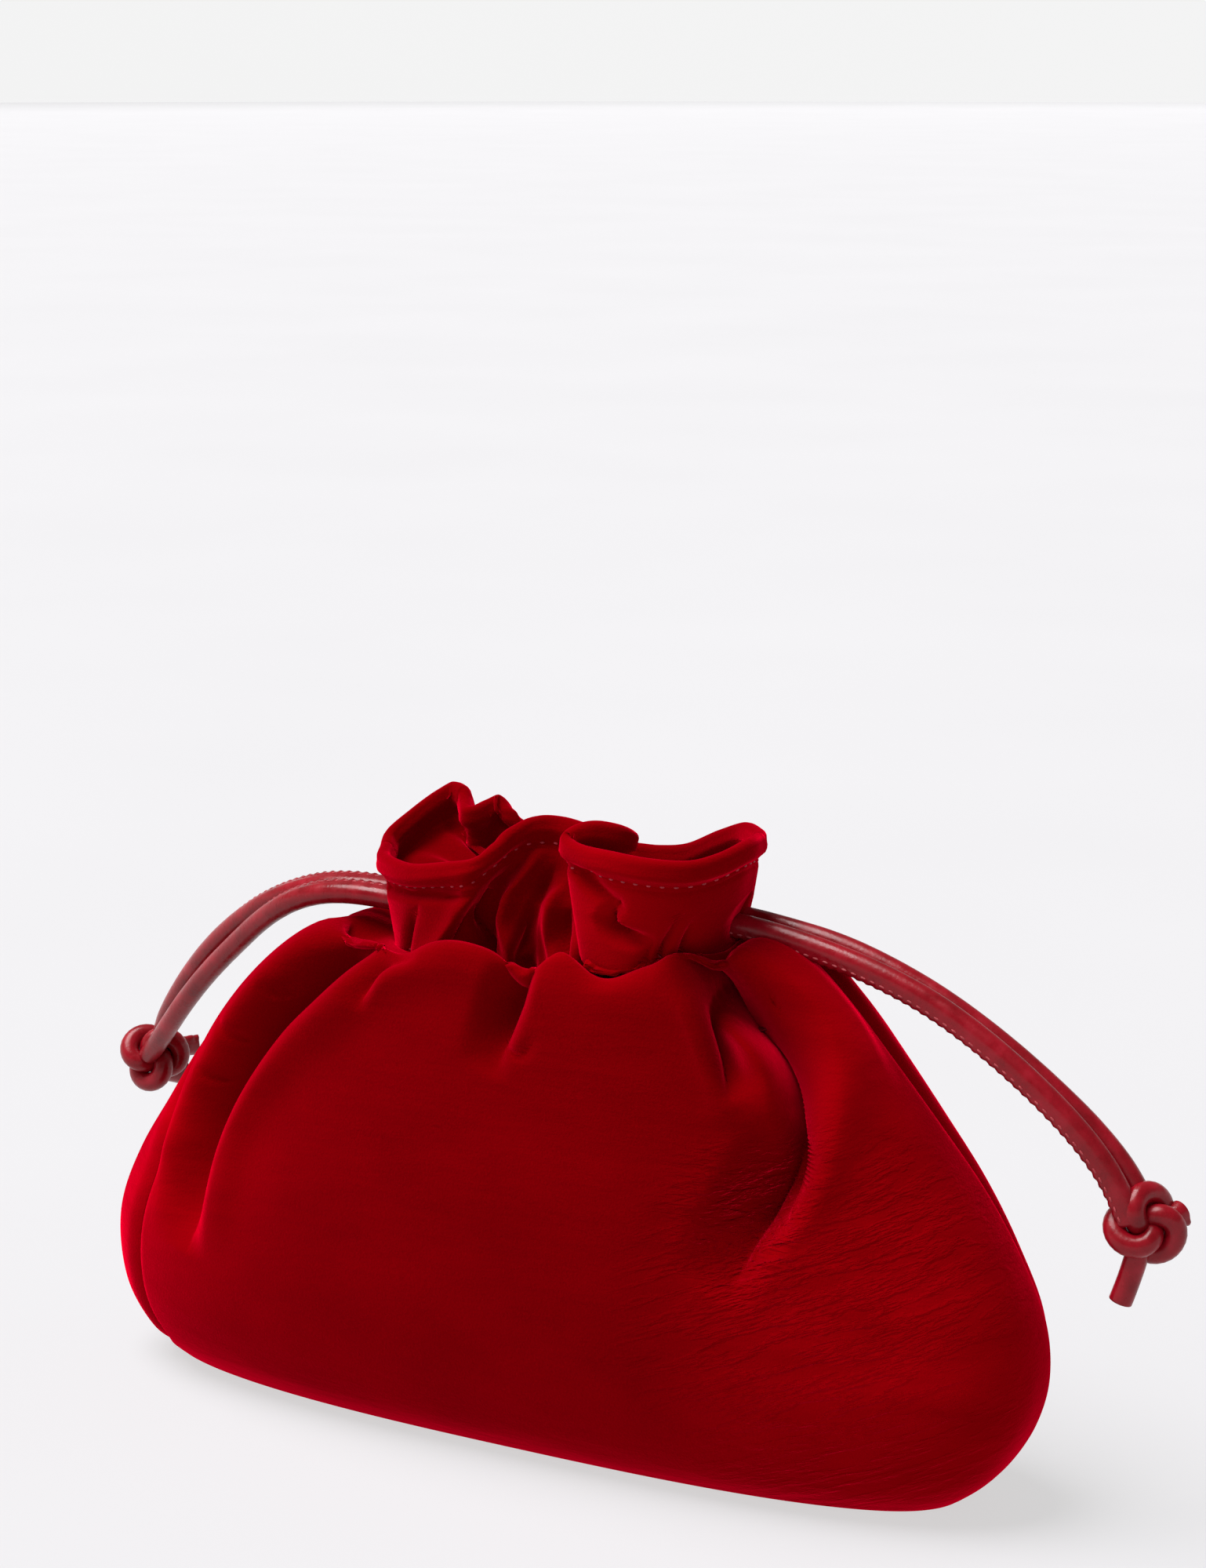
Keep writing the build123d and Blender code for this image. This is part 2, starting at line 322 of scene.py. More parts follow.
def spline_points(route):
    """Points in metres along the smooth NURBS line through a route in mm."""
    curve = bpy.data.curves.new("route", "CURVE")
    curve.dimensions = "3D"
    curve.resolution_u = CURVE_STEPS
    spline = curve.splines.new("NURBS")
    spline.points.add(len(route) - 1)
    for point, place in zip(spline.points, route):
        point.co = (*(coordinate * MM for coordinate in place), 1)
    spline.order_u = 3
    spline.use_endpoint_u = True
    holder = bpy.data.objects.new("route", curve)
    scene.collection.objects.link(holder)
    bpy.context.view_layer.update()
    mesh = bpy.data.meshes.new_from_object(holder)
    points = np.array([vertex.co[:] for vertex in mesh.vertices])
    bpy.data.objects.remove(holder)
    bpy.data.meshes.remove(mesh)
    bpy.data.curves.remove(curve)
    return points


AROUND = 28  # points round a cord
ANGLES = np.arange(AROUND) * 2 * math.pi / AROUND
SEAM_WIDTH = math.radians(17)
SEAM_HEIGHT = 0.95 * MM
SEAM_GATHER = 0.2  # share of the seam's height that its stitches gather
SKIN_SHARE = 0.97  # of the cord's radius, away from the seam
KNOT_SHARE = 0.93  # the same where the cord is squeezed in a knot
STITCH_PITCH = 2.9 * MM
STITCH_LENGTH = 1.7 * MM
STITCH_WIDTH = 0.6 * MM
STITCH_AT = 1.06  # of the cord's radius, up the seam's side


def unit(vectors):
    """The vectors with a length of 1."""
    return vectors / np.linalg.norm(vectors, axis=-1, keepdims=True)


def line_frames(points):
    """The direction, side and upward vectors at each point of a line."""
    along = unit(np.gradient(points, axis=0))
    side = unit(np.cross(along, (0, 0, 1)))
    return along, side, np.cross(side, along)


def run_lengths(points):
    """The distance along a line to each of its points."""
    return np.r_[0, np.cumsum(np.linalg.norm(np.diff(points, axis=0), axis=1))]


def at_lengths(at, lengths, values):
    """Vectors that belong to the points of a line, at the given distances along it."""
    return np.stack([np.interp(at, lengths, values[:, k]) for k in range(3)], 1)


def rings_round(points, side, above, radii):
    """Rings of points round a line."""
    across = (np.cos(ANGLES)[None] * radii)[:, :, None]
    upwards = (np.sin(ANGLES)[None] * radii)[:, :, None]
    return points[:, None] + side[:, None] * across + above[:, None] * upwards


def ring_faces(count, closed):
    """The faces between a row of rings, and from the last ring to the first if it is closed."""
    faces = []
    for ring in range(count if closed else count - 1):
        here, after = ring * AROUND, (ring + 1) % count * AROUND
        for k in range(AROUND):
            beside = (k + 1) % AROUND
            faces.append([here + k, here + beside, after + beside, after + k])
    return faces


def tube(name, points, seam_angle):
    """A leather cord's skin along a line, with its raised stitched edge, gathered at each stitch."""
    away = np.abs((ANGLES - seam_angle + math.pi) % (2 * math.pi) - math.pi)
    gathered = 1 + SEAM_GATHER * np.cos(2 * math.pi * run_lengths(points) / STITCH_PITCH)
    seam = SEAM_HEIGHT * gathered[:, None] * np.exp(-(away / SEAM_WIDTH) ** 2)[None]
    _, side, above = line_frames(points)
    rings = rings_round(points, side, above, CORD_RADIUS * SKIN_SHARE + seam)
    faces = ring_faces(len(points), closed=False)
    faces.append(list(range(AROUND))[::-1])
    faces.append([(len(points) - 1) * AROUND + k for k in range(AROUND)])
    return mesh_object(name, rings.reshape(-1, 3), faces, "leather")


def stitches(name, places, along, outward, length, width, material="thread"):
    """A row of raised stitches, as one mesh of small rounded capsules."""
    round_mesh = bmesh.new()
    bmesh.ops.create_icosphere(round_mesh, subdivisions=2, radius=1)
    ball = np.array([vertex.co[:] for vertex in round_mesh.verts])
    ball_faces = np.array([[vertex.index for vertex in face.verts] for face in round_mesh.faces])
    round_mesh.free()
    across = np.cross(outward, along)
    points = (places[:, None] + along[:, None] * (ball[None, :, :1] * length / 2)
              + across[:, None] * (ball[None, :, 1:2] * width / 2)
              + outward[:, None] * (ball[None, :, 2:] * width / 2))
    faces = (ball_faces[None] + (np.arange(len(places)) * len(ball))[:, None, None]).reshape(-1, 3)
    return mesh_object(name, points.reshape(-1, 3), faces.tolist(), material)


def cord_stitches(name, points, seam_angle):
    """The stitches along a cord's raised edge."""
    lengths = run_lengths(points)
    places = at_lengths(np.arange(STITCH_PITCH / 2, lengths[-1], STITCH_PITCH), lengths, points)
    along, side, above = line_frames(places)
    beside = seam_angle + SEAM_WIDTH
    outward = side * math.cos(beside) + above * math.sin(beside)
    return stitches(name, places + outward * CORD_RADIUS * STITCH_AT, along, outward,
                    STITCH_LENGTH, STITCH_WIDTH, "pale_thread")


KNOT_RING = 5.3 * MM  # radius of the ring that the knot's line winds round
KNOT_RISE = 3.1 * MM  # how far the line is from that ring
KNOT_POINTS = 90


def knot_line(centre, axis, start_angle):
    """The closed line of a tight overhand knot, a trefoil that faces along axis."""
    turn = np.linspace(0, 2 * math.pi, KNOT_POINTS, endpoint=False)
    reach = KNOT_RING + KNOT_RISE * np.cos(3 * turn)
    flat = np.stack([reach * np.cos(2 * turn), reach * np.sin(2 * turn), KNOT_RISE * np.sin(3 * turn)], 1)
    facing = Vector(axis).to_track_quat("Z", "Y").to_matrix() @ Matrix.Rotation(start_angle, 3, "Z")
    return np.array(centre) + flat @ np.array(facing).T


# Each knot's middle, the way it faces and its turn
KNOTS = {
    "left_knot": ((-0.1680, 0.0365, 0.0735), (0.35, -0.85, 0.35), math.radians(20)),
    "right_knot": ((0.1750, 0.0, 0.0870), (0.55, -0.75, 0.35), math.radians(75)),
}
# Each cut end's route out of its knot, in mm
TAILS = {
    "left_upper_tail": [(-166.5, 41, 73.5), (-165.5, 46, 74.5), (-164, 52, 73.5)],
    "left_lower_tail": [(-169, 39.5, 68), (-168.5, 44, 66.5), (-167.5, 50, 64)],
    "right_lower_tail": [(174.5, -2, 83.5), (173.5, -3, 76.5), (170.2, -4, 66.5)],
    "right_upper_tail": [(178.5, 3.5, 86.5), (180.5, 5.5, 88.5), (181.5, 8, 89.3)],
}
CORE_RADIUS = 2.3 * MM
CORE_RISE = 0.7 * MM  # of its domed end
CORE_LUMPS = 5  # round its edge
CORE_ROUGHNESS = 0.08


def make_knot(side):
    """A drawcord's knot, which rides with its strands."""
    line = knot_line(*KNOTS[f"{side}_knot"])
    along = unit(np.roll(line, -1, 0) - np.roll(line, 1, 0))
    outward = line - line.mean(0)
    outward = unit(outward - along * (outward * along).sum(1)[:, None])
    rings = rings_round(line, np.cross(along, outward), outward, CORD_RADIUS * KNOT_SHARE)
    faces = ring_faces(len(line), closed=True)
    knot = mesh_object(f"{side}_knot_cord", rings.reshape(-1, 3), faces, "leather")
    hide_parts(f"{side}_knot")
    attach(knot, f"{side}_strands")
    return knot


def cut_core(name, tip, direction):
    """The core's rough end, a little domed, in the middle of a cut cord."""
    ball = bmesh.new()
    bmesh.ops.create_uvsphere(ball, u_segments=20, v_segments=10, radius=1)
    facing = Vector(direction).to_track_quat("Z", "Y").to_matrix()
    for vertex in ball.verts:
        x, y, z = vertex.co
        reach = CORE_RADIUS * (1 + CORE_ROUGHNESS * math.sin(CORE_LUMPS * math.atan2(y, x)))
        vertex.co = Vector(tip) + facing @ Vector((x * reach, y * reach, z * CORE_RISE))
    points = [vertex.co[:] for vertex in ball.verts]
    faces = [[vertex.index for vertex in face.verts] for face in ball.faces]
    ball.free()
    return mesh_object(name, points, faces, "cord_core")


def make_tail(name, side):
    """One of a cord's cut ends, with its core, which ride with the strands."""
    line = spline_points(TAILS[name])
    tail = tube(f"{name}_cord", line, SEAM_ANGLES[side])
    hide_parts(name)
    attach(tail, f"{side}_strands")
    core = cut_core(f"{name}_core", line[-1], unit(line[-1] - line[-2]))
    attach(core, f"{side}_strands")
    core_node = name.replace("_tail", "_core")
    if core_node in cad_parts:
        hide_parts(core_node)
    return [tail, core]


def make_strand(side, strand):
    """A free strand and its stitches."""
    name = f"{side}_{strand}_strand"
    line = spline_points(STRAND_ROUTES[name])
    skin = tube(f"{name}_cord", line, SEAM_ANGLES[side])
    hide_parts(name)
    seam = cord_stitches(f"{name}_stitching", line, SEAM_ANGLES[side])
    for piece in (skin, seam):
        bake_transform(piece)


def make_cords():
    """Both drawcords' free strands, their stitching, knots and cut ends."""
    for side in ("left", "right"):
        attached = [make_knot(side)]
        for name in TAILS:
            if name.startswith(side):
                attached += make_tail(name, side)
        make_strand(side, "front")
        make_strand(side, "back")


make_cords()


# ---------------- velvet, in millimetres

# The pouch's bare shape from the floor up: the x and z of its left end, the z and y of its front
# and of its back, and the x and z of its right end
ENVELOPE = np.array([
    # left          front         back         right
    (-114, 0.6,     0.4, 0,       0.4, 0,      116, 0.6),  # bottom seam
    (-125, 1.5,     0.4, -26,     0.4, 24,     124, 1),  # edge of the part on the floor
    (-132, 5,       2.5, -32,     3, 30,       129.5, 4),
    (-139, 12.5,    10, -38.5,    10, 37,      137, 11),
    (-145, 23,      22, -43,      22, 41,      144, 23),
    (-147.5, 37,    38, -45.5,    38, 44,      147.5, 37),  # widest
    (-146, 49,      56, -46,      56, 45,      146, 53),
    (-139, 64,      74, -45.5,    74, 44.5,    138.5, 70),
    (-129, 79,      92, -43.5,    92, 42.5,    128.5, 87),
    (-117.5, 96,    108, -41.5,   108, 40,     116, 104),
    (-106, 111,     121, -39.5,   121, 37.5,   103, 121),
    (-93, 124,      131.5, -37.5, 131.5, 35,   91, 136),
    (-79, 134.5,    139.5, -36,   139, 34,     80.5, 146),
    (-67, 140.5,    143.5, -33,   143, 31,     69.5, 151),  # crest
    (-56, 138,      138.5, -27.5, 138.5, 26,   61, 149),
    (-50, 135,      134, -21.5,   134, 21.5,   56, 146),  # foot of the casing
])
CREST_ROW = 13
CASING_FOOT_ROW = 15
CASING_TOP_ROW = 18
RIM_ROW = 20

# The rim's line, left to right round the front: two lobes, with a pleat folded between them
FRONT_RIM = np.array([
    (-58, 0, 160.5), (-54.5, -7, 159.5), (-47, -13, 159.5), (-38, -17.5, 160), (-27, -20, 162.3),
    (-16, -20.5, 165), (-10, -17, 169.3), (-7, -12, 173), (-3, -7, 175.5), (3, -4, 175.5),
    (11, -4.5, 174.5), (19, -6.5, 174.5), (27, -9.5, 175.5), (27, -14.5, 178.2), (22, -18, 179.5),
    (17.5, -20.5, 178.5), (15, -24, 176), (21, -28, 174.5), (33, -31, 174.3), (45, -31.5, 173.7),
    (56, -28.5, 173.7), (62, -21.5, 175), (65, -11, 177), (63, 0, 176.5),
], float)

# The same places of the cloth at the foot of the casing, drawn up into pleats
FRONT_FOOT = np.array([
    (-50, 0), (-49, -7), (-45, -13), (-39, -18), (-32, -21.5), (-25, -22), (-20, -18.5), (-16, -15),
    (-12, -18.5), (-7.5, -20), (-3.5, -15.5), (1.5, -16), (7, -19.5), (13, -18), (17, -14.5),
    (20, -18), (21.5, -24), (26, -27), (33, -27.5), (40, -25.5), (46, -22.5), (51, -17),
    (54.5, -10), (56, 0),
], float)

# The rim's line round the back, right to left, and the same places at the foot
BACK_RIM = np.array([
    (63, 0, 176.5), (60.5, 5, 176.7), (52, 13, 176), (42, 17, 172), (31, 20, 166.5), (22, 21, 164.5),
    (14, 20.5, 164.5), (6, 18, 164.5), (-4, 19, 165), (-14, 21, 165.5), (-23, 21, 167),
    (-27, 20, 171), (-31, 21, 173.3), (-34.5, 18, 172), (-36.5, 13.5, 171), (-39.5, 17.5, 172.5),
    (-42.5, 21, 174.8), (-48, 22.5, 175), (-52, 19, 172.5), (-57, 13, 167.5), (-60, 6, 163),
    (-58, 0, 160.5),
], float)
BACK_FOOT = np.array([
    (56, 0), (54.5, 7), (49, 14), (43, 19), (36, 21), (29, 18), (22, 21.5), (14, 18.5), (7, 21.5),
    (0, 22), (-7, 18), (-13, 21.5), (-20, 18), (-26, 21.5), (-31, 18.5), (-35, 21), (-39, 19.5),
    (-43, 17), (-46, 13.5), (-48.5, 9), (-50, 4.5), (-50, 0),
], float)


def smooth(values, at):
    """A Catmull-Rom line through the values, at fractional indices."""
    values = np.asarray(values, float)
    at = np.clip(np.asarray(at, float), 0, len(values) - 1)
    start = np.minimum(at.astype(int), len(values) - 2)
    u = (at - start).reshape(-1, *[1] * (values.ndim - 1))
    padded = np.concatenate([[2 * values[0] - values[1]], values, [2 * values[-1] - values[-2]]])
    a, b, c, d = (padded[start + k] for k in range(4))
    return b + 0.5 * u * (c - a + u * (2 * a - 5 * b + 4 * c - d + u * (3 * (b - c) + d - a)))


def ease(value, low, high):
    """0 below low, 1 above high, with a smooth step between."""
    part = np.clip((value - low) / (high - low), 0, 1)
    return part * part * (3 - 2 * part)


def window(value, start, full, fade, end):
    """0 outside start and end, 1 between full and fade, with smooth steps."""
    return ease(value, start, full) * (1 - ease(value, fade, end))


ROW_STEP = 1.2  # mm between rows of points
NECK_ROWS = 33  # rows of points above the foot of the casing
COLUMNS = 401  # points round each half
SQUARENESS = (3.0, 2.35)  # exponents of the superellipse at the base and above
END_DROP = 2.2  # exponent of the way a row falls towards its ends
SEAM_TURNS = (0.56, 0.20)  # radians, the left seam round to the front, the right one to the back
NECK_FLARE = 0.85  # exponent of the neck's widening from the foot to the rim
CORD_CLEARANCE = 12.4  # of the casing's outside from the middle, in front of the loops
PLEAT_CLEARANCE = 10.4  # of the creases in it
LOOP_ENDS = (40, 50)  # mm from the middle, where the cloth needs no clearance any more
SLIT_ROW = 16.45
SLIT_HALF = 1.2  # half its height, in rows
SLIT_SHARES = {"front": (0.035, 0.05), "back": (0.05, 0.045)}  # of a half, drawn back at its slits

# Windows of rows: where a thing starts, is full, begins to fade and is gone
SEAM_TURN_ROWS = (0.3, 3, 6.5, 12)
SEAM_PRESS_ROWS = (1, 3, 13, 15)
BODY_FOLD_ROWS = (0.5, 2, 13.6, 15)
CREST_ROWS = (11.2, CREST_ROW, 13.4, 14.6)
HOLLOW_ROWS = (13.2, 14.2, 14.9, 15.8)
CORD_ROWS = (14.2, 15, CASING_TOP_ROW - 0.6, CASING_TOP_ROW + 0.8)
NECK_FOLD_ROWS = (14.2, 15.2, 19.2, RIM_ROW)


def row_places():
    """Fractional row numbers about a step apart."""
    fine = np.linspace(0, CASING_FOOT_ROW, 800)
    run = run_lengths(smooth(ENVELOPE[:, [2, 3]], fine))
    below = np.interp(np.linspace(0, run[-1], int(run[-1] / ROW_STEP)), run, fine)
    return np.r_[below, np.linspace(CASING_FOOT_ROW, RIM_ROW, NECK_ROWS + 1)[1:]]


def body_rows(rows, half, share):
    """The bare body, from the bottom seam to the foot of the casing."""
    low = smooth(ENVELOPE, np.minimum(rows, CASING_FOOT_ROW))
    left_x, left_z, front_z, front_y, back_z, back_y, right_x, right_z = low.T[:, :, None]
    turned = window(rows, *SEAM_TURN_ROWS)[:, None]
    left, right = math.pi + SEAM_TURNS[0] * turned, SEAM_TURNS[1] * turned
    begin, finish = (left, 2 * math.pi + right) if half == "front" else (right, left)
    angle = begin + (finish - begin) * share
    power = 2 / (SQUARENESS[0] + (SQUARENESS[1] - SQUARENESS[0]) * ease(rows, 1.5, 7)[:, None])
    across = np.sign(np.cos(angle)) * np.abs(np.cos(angle)) ** power
    through = np.sign(np.sin(angle)) * np.abs(np.sin(angle)) ** power
    # The left seam lies round to the front, where the front's depth applies to both halves
    depth = np.where(through < 0, -front_y, back_y)
    middle_z = np.where(through < 0, front_z, back_z)
    x = (right_x + left_x) / 2 + (right_x - left_x) / 2 * across
    end_z = np.where(across > 0, right_z, left_z)
    z = middle_z + (end_z - middle_z) * np.abs(across) ** END_DROP
    return np.stack([x, depth * through, z], 2)


def crest_waves(x, rows):
    """How far the crest rises or dips at each point."""
    waves = sum(height * np.exp(-((x - middle) / width) ** 2) for middle, height, width in CREST_WAVES)
    return window(rows, *CREST_ROWS)[:, None] * waves


def clear_of_cords(grid, rows, half, clearance):
    """Keeps the neck's cloth in front of the drawcords' loops, which reach the top of the casing."""
    clear = clearance * window(rows, *CORD_ROWS)[:, None] * (1 - ease(np.abs(grid[:, :, 0]), *LOOP_ENDS))
    way = -1 if half == "front" else 1
    beyond = way * grid[:, :, 1] - clear
    held_off = way * (clear + (beyond + np.sqrt(beyond ** 2 + 1)) / 2)
    moved = grid.copy()
    moved[:, :, 1] = np.where(clear > 0, held_off, grid[:, :, 1])
    return moved


def envelope_rows(rows, half):
    """The bare surface of one half, row by row, as an array of rows, columns and xyz."""
    share = np.linspace(0, 1, COLUMNS)[None, :]
    body = body_rows(rows, half, share)
    foot, rim = (FRONT_FOOT, FRONT_RIM) if half == "front" else (BACK_FOOT, BACK_RIM)
    # The slits' edges are drawn apart
    lens = np.clip(1 - ((rows - SLIT_ROW) / SLIT_HALF) ** 2, 0, 1)[:, None] ** 0.6
    first, last = SLIT_SHARES[half]
    held = share * (1 - (first + last) * lens) + first * lens
    low = smooth(foot, held.ravel() * (len(foot) - 1)).reshape(len(rows), COLUMNS, 2)
    high = smooth(rim, held.ravel() * (len(rim) - 1)).reshape(len(rows), COLUMNS, 3)
    rise = np.clip((rows - CASING_FOOT_ROW) / (RIM_ROW - CASING_FOOT_ROW), 0, 1)[:, None]
    spread = (rise ** NECK_FLARE)[:, :, None]
    neck = low * (1 - spread) + high[:, :, :2] * spread
    neck = clear_of_cords(neck, rows, half, CORD_CLEARANCE)
    height = body[:, :, 2] * (1 - rise) + high[:, :, 2] * rise
    join = ease(rows, CREST_ROW + 0.3, CASING_FOOT_ROW)[:, None, None]
    flat = body[:, :, :2] * (1 - join) + neck * join
    return np.concatenate([flat, height[:, :, None]], 2)


def surface_normals(grid):
    """Outward unit normals of a grid whose columns run round and whose rows run up."""
    round_ways = np.gradient(grid, axis=1)
    upwards = np.gradient(grid, axis=0)
    normals = np.cross(round_ways, upwards)
    return normals / np.maximum(np.linalg.norm(normals, axis=2, keepdims=True), 1e-9)


LINE_STEPS = 12  # points between two of a fold line's points
BELLY_SHARE = 0.55  # of a fold's steep side that is a round belly and not a soft slope
HANG_SCALE = 5.38  # brings the overhang's highest share to 1


def fold_distance(flat, line):
    """Each point's distance and side from a line in the front plane, the size there and the way across."""
    path = smooth(np.array(line, float), np.linspace(0, len(line) - 1, LINE_STEPS * (len(line) - 1) + 1))
    start, span = path[:-1, :2], np.diff(path[:, :2], axis=0)
    offset = flat[:, None] - start[None]
    part = np.clip((offset * span).sum(2) / (span ** 2).sum(1), 0, 1)
    distance = np.linalg.norm(offset - part[:, :, None] * span[None], axis=2)
    best = distance.argmin(1)
    every = np.arange(len(flat))
    turn = span[best, 0] * offset[every, best, 1] - span[best, 1] * offset[every, best, 0]
    size = smooth(path[:, 2], best + part[every, best])
    away = unit(span[best])
    return distance[every, best], np.sign(turn), size, np.stack([-away[:, 1], away[:, 0]], 1)


def close_to(grid, weight, line, reach):
    """Which points of a grid have any weight and lie near a line."""
    places = np.array(line, float)[:, :2]
    low, high = places.min(0) - reach, places.max(0) + reach
    flat = grid[:, :, [0, 2]]
    return (weight > 0) & (flat > low).all(2) & (flat < high).all(2)


def carve(grid, normals, weight, line, left, right, lean=0.0):
    """Presses a fold in along a line of (x, z, depth), as wide as left and right on its two sides.

    The narrower side is a round belly that meets the crease steeply, and the wider one a soft slope.
    lean moves the left (negative) or right (positive) belly across the crease, so that it hangs over.
    """
    chosen = close_to(grid, weight, line, max(left, right))
    moved = grid.copy()
    if not chosen.any():
        return moved
    points, share = grid[chosen], weight[chosen]
    distance, side, depth, away = fold_distance(points[:, [0, 2]], line)
    # 0 in the crease and 1 at the fold's edge
    apart = np.clip(distance / np.where(side > 0, right, left), 0.015, 1)
    belly = 1 - np.sqrt(1 - (1 - apart) ** 2)
    slope = (1 + np.cos(apart * math.pi)) / 2
    steep = (side > 0) == (right < left)
    mixed = BELLY_SHARE * belly + (1 - BELLY_SHARE) * slope
    profile = np.where(steep, mixed, slope) if left != right else belly
    points = points - normals[chosen] * (depth * profile * share)[:, None]
    hang = np.where(side * lean > 0, apart * (1 - apart) ** 1.5 * HANG_SCALE, 0)
    sideways = depth / max(point[2] for point in line) * hang * -lean * share
    points[:, [0, 2]] += sideways[:, None] * away
    moved[chosen] = points
    return moved


def swell(grid, normals, weight, line, width):
    """Raises a soft ridge along a line of (x, z, height)."""
    chosen = close_to(grid, weight, line, 3 * width)
    moved = grid.copy()
    if chosen.any():
        distance, _, height, _ = fold_distance(grid[chosen][:, [0, 2]], line)
        rise = height * np.exp(-(distance / width) ** 2) * weight[chosen]
        moved[chosen] += normals[chosen] * rise[:, None]
    return moved


# Folds of the front below the crest: line of (x, z, depth), width left, width right, lean
BODY_FOLDS_FRONT = [
    # the long valley down the left
    ([(-43, 142, 3), (-55, 134, 15), (-64, 126, 25), (-74, 116, 30), (-84, 103, 30), (-92, 90, 25),
      (-98, 76, 17), (-102, 60, 9), (-104, 42, 0)], 17, 8, 3.5),
    ([(-24, 142, 0), (-33, 139, 4), (-39, 134, 6), (-44, 124, 0)], 12, 4, 0.8),
    # the pocket on the right: its lower part, its crisp flap on the right and the lobe on its left
    ([(90, 112, 0), (90, 100, 9), (85, 86, 13), (79, 74, 8), (74, 60, 0)], 20, 9, 2.0),
    ([(48, 149, 0), (55, 147.5, 7), (62, 146, 17), (70, 143.5, 24), (78, 139, 27), (86, 132, 26),
      (91, 122, 23), (93, 108, 18), (92, 96, 11), (88, 86, 5), (82, 76, 0)], 12, 6, 6.0),
    ([(50, 149, 0), (56, 143, 10), (61, 135, 16), (66, 125, 13), (71, 113, 0)], 4.5, 10, -3.0),
    # small ones at the crest
    ([(9.5, 146, 0), (9, 141, 7), (7.5, 134, 10), (5, 126, 9), (3, 118, 4), (2, 112, 0)], 13, 5.5, 1.0),
    ([(15, 125, 0), (10, 119.5, 2.5), (4, 119, 0)], 4, 4, 0),
    ([(72, 144, 0), (77, 137, 3), (82, 134, 0)], 3, 3, 0),
    # marks in the valley's outer wall
    ([(-103, 108, 0), (-95, 105, 3), (-87, 105, 0)], 2.5, 3.5, 0),
    ([(-109, 94, 0), (-102, 92, 3), (-94, 92, 0)], 2.5, 3.5, 0),
    ([(-88, 121, 0), (-81, 120, 3), (-73, 122, 0)], 2.5, 3.5, 0),
]
BODY_RIDGES_FRONT = [
    ([(-97, 42, 0), (-92, 64, 1.5), (-84, 90, 3), (-69, 109, 3.5), (-52, 124, 4), (-38, 134, 3),
      (-18, 141, 2), (0, 144, 1)], 7),
    ([(-119, 72, 1), (-107, 96, 1.5), (-92, 118, 2.5), (-76, 134, 2.5), (-62, 142, 0)], 7),
    ([(62, 137, 0), (67, 133, 3), (74, 129, 3), (80, 122, 2), (80, 106, 0)], 6),
    ([(50, 147, 2), (62, 131, 3), (68, 118, 2), (70, 106, 0)], 4),
    ([(60, 148, 1), (76, 143, 3), (88, 134, 4.5), (96, 122, 4.5), (98, 106, 3), (95, 90, 1.5),
      (88, 76, 0)], 6),
]
# Rises and dips of the crest: x, height, half width
CREST_WAVES = [(-33, -3.5, 9), (-12, 1.5, 12), (8, -2.5, 7), (19, 4.0, 6), (32, -3.5, 8), (55, 1.5, 6)]
BODY_FOLDS_BACK = [
    ([(-42, 142, 4), (-58, 131, 10), (-72, 116, 12), (-82, 98, 9), (-88, 78, 4), (-88, 62, 0)],
     10, 18, -2.5),
    ([(40, 147, 6), (52, 134, 12), (62, 118, 13), (68, 99, 9), (70, 80, 4), (68, 64, 0)], 18, 9, 2.5),
    ([(-8, 147, 9), (-10, 136, 8), (-8, 122, 5), (-4, 106, 0)], 8, 12, -1.5),
    ([(74, 147, 4), (88, 130, 6), (96, 112, 4), (100, 98, 0)], 8, 5, 0),
    ([(-76, 134, 4), (-92, 118, 6), (-104, 100, 3), (-110, 86, 0)], 6, 9, 0),
]
# Creases of the casing and the ruffle
NECK_FOLDS_FRONT = [
    ([(17, 174, 0), (24, 166.5, 3.5), (32, 162, 2.5), (38, 160, 0)], 2.5, 6, 0),
    ([(33, 161, 2), (30.5, 157, 6), (33, 153.5, 6.5), (38, 152, 5), (45, 152, 0)], 3.5, 4.5, 0),
    ([(44, 143, 4), (46, 150, 4), (50, 157, 2), (53, 163, 0)], 3, 3, 0),
    ([(49, 145, 3.5), (51, 151, 3.5), (55, 160, 0)], 2.5, 2.5, 0),
    ([(39, 140, 3), (41, 146, 3), (45, 154, 0)], 3, 3, 0),
    ([(-52, 151, 2), (-42, 152.5, 2.5), (-30, 154, 3), (-20, 155, 2.5), (-11, 157, 0)], 2.2, 3.2, 0),
    ([(-12, 136, 5), (-14, 146, 5), (-12, 156, 4), (-7, 165, 0)], 3, 3, 0),
    ([(-1, 136, 5), (-2, 146, 5.5), (0, 155, 4), (4, 165, 0)], 3, 3.5, 0),
    ([(13, 137, 4), (10, 147, 4), (11, 158, 0)], 3, 3, 0),
    ([(-28, 136, 4), (-18, 148, 4.5), (-10, 160, 3), (-4, 168, 0)], 5, 2.8, -0.8),
    ([(-40, 136, 3), (-38, 144, 3), (-34, 152, 0)], 4, 4, 0),
]
# Folded ridges in the deep pleat between the ruffle's two lobes, and beside it
NECK_RIDGES_FRONT = [
    ([(1, 171, 0), (-4, 163, 3), (-8, 155, 4.5), (-8, 147, 4.5), (-4, 139, 3)], 2.6),
    ([(-20, 166, 0), (-17, 157, 2), (-20, 147, 2.5), (-27, 137, 2)], 4),
    ([(9, 163, 0), (5, 154, 3), (5, 146, 3.5), (9, 138, 2)], 2.6),
]
